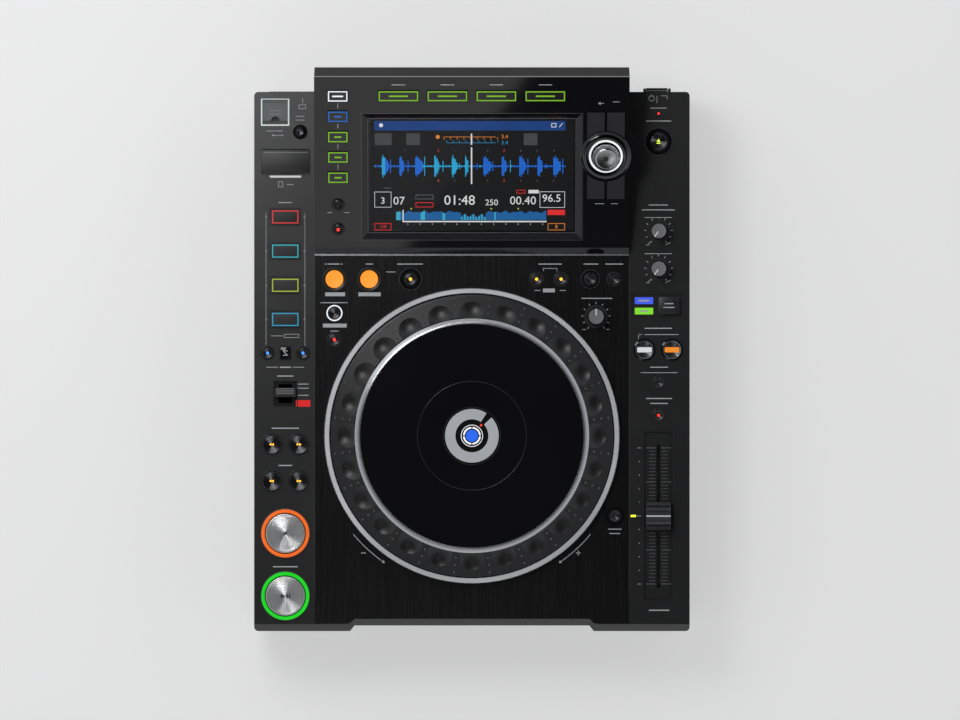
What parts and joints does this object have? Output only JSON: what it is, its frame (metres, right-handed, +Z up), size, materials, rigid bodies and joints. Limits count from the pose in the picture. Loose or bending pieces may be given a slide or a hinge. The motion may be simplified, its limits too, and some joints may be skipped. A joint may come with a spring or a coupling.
{
  "type": "tabletop disc player",
  "caption": "Tabletop disc player with a turning jog wheel, a tilted display console, transport buttons and a tempo slider.",
  "frame": {"origin": "on the table under the middle of the outline", "axes": "+X to the right, +Y to the rear, +Z up; the disc slot faces -Y"},
  "size_m": [0.32, 0.414, 0.118],
  "materials": {
    "board_green": "circuit board",
    "bright_trim": "brushed",
    "case_plastic": "fine textured, satin",
    "chassis_steel": "powder coated",
    "clear_glass": "clear",
    "console_plastic": "fine textured",
    "deck_metal": "dark brushed",
    "gloss_panel": "polished",
    "jog_plastic": "dark satin",
    "key_plastic": "satin keys",
    "knob_plastic": "soft touch",
    "lit_plastic": "lit ring",
    "pad_rubber": "translucent pad",
    "rubber": "matte",
    "screen": "lit display",
    "socket_metal": "plated",
    "socket_plastic": "moulded",
    "steel": "bare",
    "transport_metal": "spun"
  },
  "bodies": {
    "root": {"bottom_chassis": "chassis_steel", "upper_case": "case_plastic", "deck_plate": "deck_metal", "console_housing": "console_plastic", "console_panel": "gloss_panel", "console_trim": "bright_trim", "display_frame": "gloss_panel", "display_glass": "clear_glass", "lcd_module": "screen", "jog_trim_ring": "bright_trim", "jog_base": "steel", "jog_display": "screen", "rubber_feet": "rubber", "chassis_screws": "steel", "main_board": "board_green", "power_supply": "board_green", "drive_frame": "steel", "pickup_chassis": "steel", "fader_unit": "steel", "button_rings": "lit_plastic", "usb_socket": "socket_metal", "card_reader": "socket_plastic", "rear_sockets": "socket_metal", "power_inlet": "socket_plastic", "panel_boards": "board_green"},
    "bank_keys": {"bank_keys": "key_plastic"},
    "console_caps": {"console_caps": "key_plastic"},
    "cue_button": {"cue_button": "transport_metal"},
    "direction_lever": {"direction_lever": "knob_plastic"},
    "disc_eject_button": {"disc_eject_button": "key_plastic"},
    "hot_cue_pad_a": {"hot_cue_pad_a": "pad_rubber"},
    "hot_cue_pad_b": {"hot_cue_pad_b": "pad_rubber"},
    "hot_cue_pad_c": {"hot_cue_pad_c": "pad_rubber"},
    "hot_cue_pad_d": {"hot_cue_pad_d": "pad_rubber"},
    "jog_adjust_knob": {"jog_adjust_knob": "knob_plastic"},
    "jog_mode_key": {"jog_mode_key": "key_plastic"},
    "jog_top_plate": {"jog_top_plate": "gloss_panel"},
    "jog_wheel": {"jog_wheel": "jog_plastic"},
    "loading_roller": {"loading_roller": "rubber"},
    "loop_in_button": {"loop_in_button": "key_plastic"},
    "loop_keys": {"loop_keys": "key_plastic"},
    "loop_out_button": {"loop_out_button": "key_plastic"},
    "memory_keys": {"memory_keys": "key_plastic"},
    "menu_keys": {"menu_keys": "key_plastic"},
    "mode_keys": {"mode_keys": "key_plastic"},
    "pickup_sled": {"pickup_sled": "socket_plastic"},
    "play_button": {"play_button": "transport_metal"},
    "power_button": {"power_button": "key_plastic"},
    "release_start_knob": {"release_start_knob": "knob_plastic"},
    "sd_door": {"sd_door": "case_plastic"},
    "search_keys": {"search_keys": "key_plastic"},
    "selector_keys": {"selector_keys": "key_plastic"},
    "selector_knob": {"selector_knob": "transport_metal"},
    "selector_shaft": {"selector_shaft": "steel"},
    "source_keys": {"source_keys": "key_plastic"},
    "tempo_keys": {"tempo_keys": "key_plastic"},
    "tempo_slider": {"tempo_slider": "knob_plastic"},
    "touch_brake_knob": {"touch_brake_knob": "knob_plastic"},
    "turntable": {"turntable": "socket_plastic"},
    "usb_lid": {"usb_lid": "case_plastic"}
  },
  "joints": [
    {"name": "search_keys_press", "type": "slide", "parent": "root", "child": "search_keys", "axis": [0, 0, -1], "range_m": [0, 0.001], "stiffness_N_per_m": 150, "springref_m": -0.002},
    {"name": "bank_keys_press", "type": "slide", "parent": "root", "child": "bank_keys", "axis": [0, 0, -1], "range_m": [0, 0.001], "stiffness_N_per_m": 150, "springref_m": -0.002},
    {"name": "loop_in_button_press", "type": "slide", "parent": "root", "child": "loop_in_button", "axis": [0, 0, -1], "range_m": [0, 0.001], "stiffness_N_per_m": 150, "springref_m": -0.002},
    {"name": "loop_out_button_press", "type": "slide", "parent": "root", "child": "loop_out_button", "axis": [0, 0, -1], "range_m": [0, 0.001], "stiffness_N_per_m": 150, "springref_m": -0.002},
    {"name": "loop_keys_press", "type": "slide", "parent": "root", "child": "loop_keys", "axis": [0, 0, -1], "range_m": [0, 0.001], "stiffness_N_per_m": 150, "springref_m": -0.002},
    {"name": "memory_keys_press", "type": "slide", "parent": "root", "child": "memory_keys", "axis": [0, 0, -1], "range_m": [0, 0.001], "stiffness_N_per_m": 150, "springref_m": -0.002},
    {"name": "disc_eject_button_press", "type": "slide", "parent": "root", "child": "disc_eject_button", "axis": [0, 0, -1], "range_m": [0, 0.001], "stiffness_N_per_m": 150, "springref_m": -0.002},
    {"name": "mode_keys_press", "type": "slide", "parent": "root", "child": "mode_keys", "axis": [0, 0, -1], "range_m": [0, 0.001], "stiffness_N_per_m": 150, "springref_m": -0.002},
    {"name": "tempo_keys_press", "type": "slide", "parent": "root", "child": "tempo_keys", "axis": [0, 0, -1], "range_m": [0, 0.001], "stiffness_N_per_m": 150, "springref_m": -0.002},
    {"name": "cue_button_press", "type": "slide", "parent": "root", "child": "cue_button", "axis": [0, 0, -1], "range_m": [0, 0.001], "stiffness_N_per_m": 150, "springref_m": -0.002},
    {"name": "play_button_press", "type": "slide", "parent": "root", "child": "play_button", "axis": [0, 0, -1], "range_m": [0, 0.001], "stiffness_N_per_m": 150, "springref_m": -0.002},
    {"name": "jog_mode_key_press", "type": "slide", "parent": "root", "child": "jog_mode_key", "axis": [0, 0, -1], "range_m": [0, 0.001], "stiffness_N_per_m": 150, "springref_m": -0.002},
    {"name": "hot_cue_pad_a_press", "type": "slide", "parent": "root", "child": "hot_cue_pad_a", "axis": [0, 0, -1], "range_m": [0, 0.001], "stiffness_N_per_m": 150, "springref_m": -0.002},
    {"name": "hot_cue_pad_b_press", "type": "slide", "parent": "root", "child": "hot_cue_pad_b", "axis": [0, 0, -1], "range_m": [0, 0.001], "stiffness_N_per_m": 150, "springref_m": -0.002},
    {"name": "hot_cue_pad_c_press", "type": "slide", "parent": "root", "child": "hot_cue_pad_c", "axis": [0, 0, -1], "range_m": [0, 0.001], "stiffness_N_per_m": 150, "springref_m": -0.002},
    {"name": "hot_cue_pad_d_press", "type": "slide", "parent": "root", "child": "hot_cue_pad_d", "axis": [0, 0, -1], "range_m": [0, 0.001], "stiffness_N_per_m": 150, "springref_m": -0.002},
    {"name": "source_keys_press", "type": "slide", "parent": "root", "child": "source_keys", "axis": [0, 0.2991, -0.9542], "range_m": [0, 0.0008], "stiffness_N_per_m": 150, "springref_m": -0.002},
    {"name": "menu_keys_press", "type": "slide", "parent": "root", "child": "menu_keys", "axis": [0, 0.2991, -0.9542], "range_m": [0, 0.0008], "stiffness_N_per_m": 150, "springref_m": -0.002},
    {"name": "selector_keys_press", "type": "slide", "parent": "root", "child": "selector_keys", "axis": [0, 0.2991, -0.9542], "range_m": [0, 0.0008], "stiffness_N_per_m": 150, "springref_m": -0.002},
    {"name": "console_caps_press", "type": "slide", "parent": "root", "child": "console_caps", "axis": [0, 0.2991, -0.9542], "range_m": [0, 0.0008], "stiffness_N_per_m": 150, "springref_m": -0.002},
    {"name": "selector_shaft_press", "type": "slide", "parent": "root", "child": "selector_shaft", "axis": [0, 0.2991, -0.9542], "range_m": [0, 0.0008], "stiffness_N_per_m": 150, "springref_m": -0.002},
    {"name": "power_button_press", "type": "slide", "parent": "root", "child": "power_button", "axis": [0, -1, 0], "range_m": [0, 0.002], "stiffness_N_per_m": 150, "springref_m": -0.002},
    {"name": "selector_turn", "type": "hinge", "parent": "selector_shaft", "child": "selector_knob", "pos_m": [0.0981, 0.14178, 0.10003], "axis": [0, -0.2991, 0.9542], "continuous": true},
    {"name": "jog_turn", "type": "hinge", "parent": "root", "child": "jog_wheel", "pos_m": [0, -0.0633, 0.074], "axis": [0, 0, 1], "continuous": true},
    {"name": "touch_plate_press", "type": "slide", "parent": "jog_wheel", "child": "jog_top_plate", "axis": [0, 0, -1], "range_m": [0, 0.0005], "stiffness_N_per_m": 2000, "springref_m": -0.002},
    {"name": "jog_adjust_turn", "type": "hinge", "parent": "root", "child": "jog_adjust_knob", "pos_m": [0.0912, 0.0242, 0.074], "axis": [0, 0, 1], "range_deg": [-150, 150]},
    {"name": "touch_brake_turn", "type": "hinge", "parent": "root", "child": "touch_brake_knob", "pos_m": [0.1371, 0.0871, 0.074], "axis": [0, 0, 1], "range_deg": [-150, 150]},
    {"name": "release_start_turn", "type": "hinge", "parent": "root", "child": "release_start_knob", "pos_m": [0.1371, 0.0593, 0.074], "axis": [0, 0, 1], "range_deg": [-150, 150]},
    {"name": "tempo_slide", "type": "slide", "parent": "root", "child": "tempo_slider", "axis": [0, 1, 0], "range_m": [-0.05, 0.05]},
    {"name": "direction_swing", "type": "hinge", "parent": "root", "child": "direction_lever", "pos_m": [-0.1371, -0.0316, 0.066], "axis": [-1, 0, 0], "range_deg": [-12, 16]},
    {"name": "usb_lid_hinge", "type": "hinge", "parent": "root", "child": "usb_lid", "pos_m": [-0.1444, 0.18235, 0.0728], "axis": [-1, 0, 0], "range_deg": [0, 100]},
    {"name": "sd_door_hinge", "type": "hinge", "parent": "root", "child": "sd_door", "pos_m": [-0.1369, 0.1457, 0.0728], "axis": [-1, 0, 0], "range_deg": [0, 100]},
    {"name": "turntable_turn", "type": "hinge", "parent": "root", "child": "turntable", "pos_m": [0, -0.13, 0.028], "axis": [0, 0, 1], "continuous": true},
    {"name": "roller_turn", "type": "hinge", "parent": "root", "child": "loading_roller", "pos_m": [0, -0.185, 0.03555], "axis": [1, 0, 0], "continuous": true},
    {"name": "pickup_slide", "type": "slide", "parent": "root", "child": "pickup_sled", "axis": [0, 1, 0], "range_m": [0, 0.036]}
  ]
}
